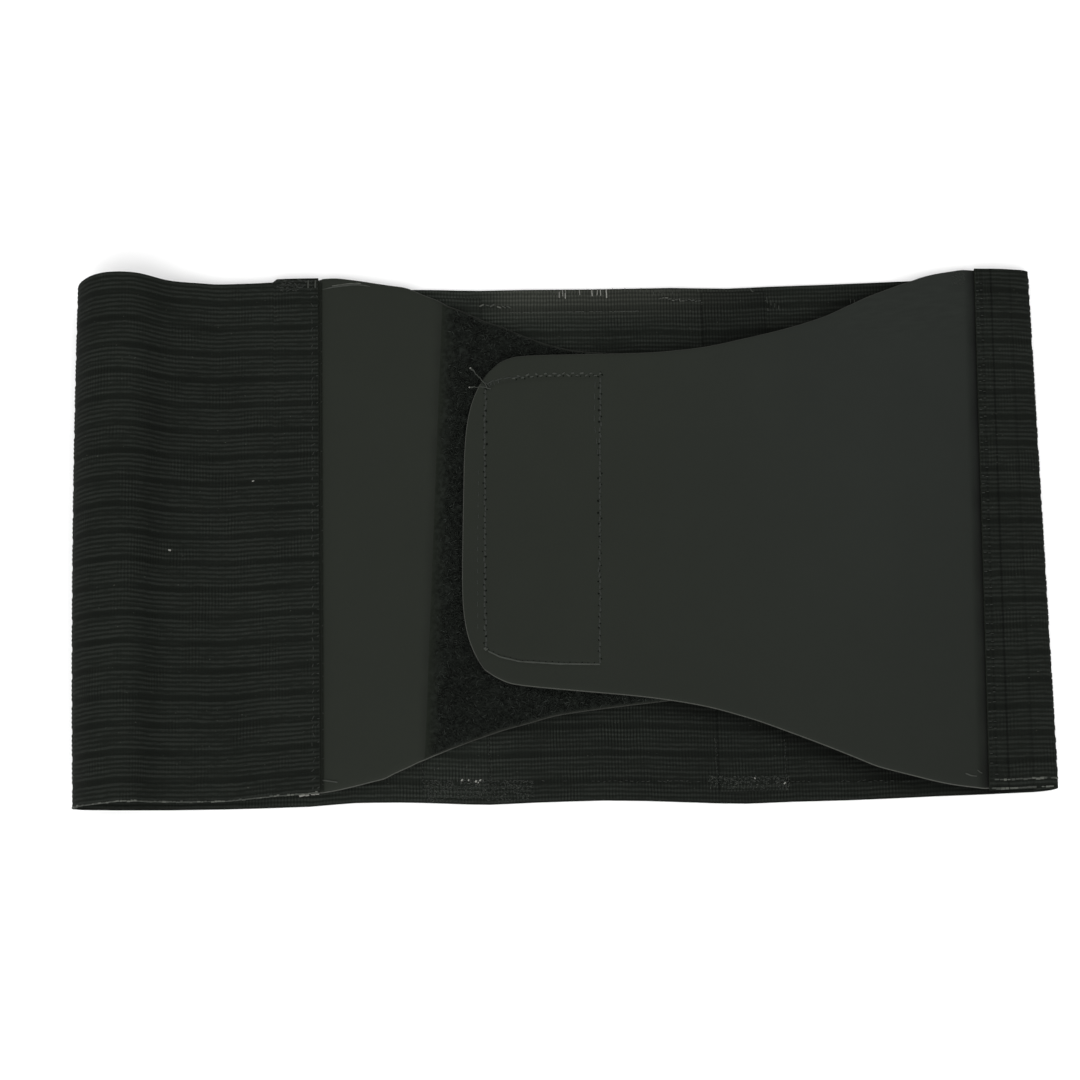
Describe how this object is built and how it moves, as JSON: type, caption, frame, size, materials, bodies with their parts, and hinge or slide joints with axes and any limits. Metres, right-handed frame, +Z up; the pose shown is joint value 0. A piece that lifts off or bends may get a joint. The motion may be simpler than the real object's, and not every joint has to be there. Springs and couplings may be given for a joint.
{
  "type": "kidney belt",
  "caption": "Closed waist support belt lying flat: wide ribbed elastic with smooth front panels, a rounded tab on loop pile, and stitched stay casings on the back.",
  "frame": {"origin": "on the table, under the middle of the flattened belt's outline", "axes": "+X along the flattened belt towards the narrow elastic strip, +Y up the belt's height, +Z up off the table"},
  "size_m": [0.374, 0.2088, 0.0255],
  "materials": {
    "ribbed_elastic": "matte ribbed weave",
    "casing_tape": "matte ribbed weave",
    "smooth_panel": "smooth coated cloth, fine grain",
    "loop_pile": "brushed loops",
    "hook_tape": "moulded hooks"
  },
  "bodies": {
    "root": {"elastic_band": "ribbed_elastic", "stay_casing_left": "casing_tape", "stay_casing_right": "casing_tape", "left_panel": "smooth_panel", "right_panel": "smooth_panel", "loop_patch": "loop_pile", "hook_patch": "hook_tape"}
  },
  "joints": []
}
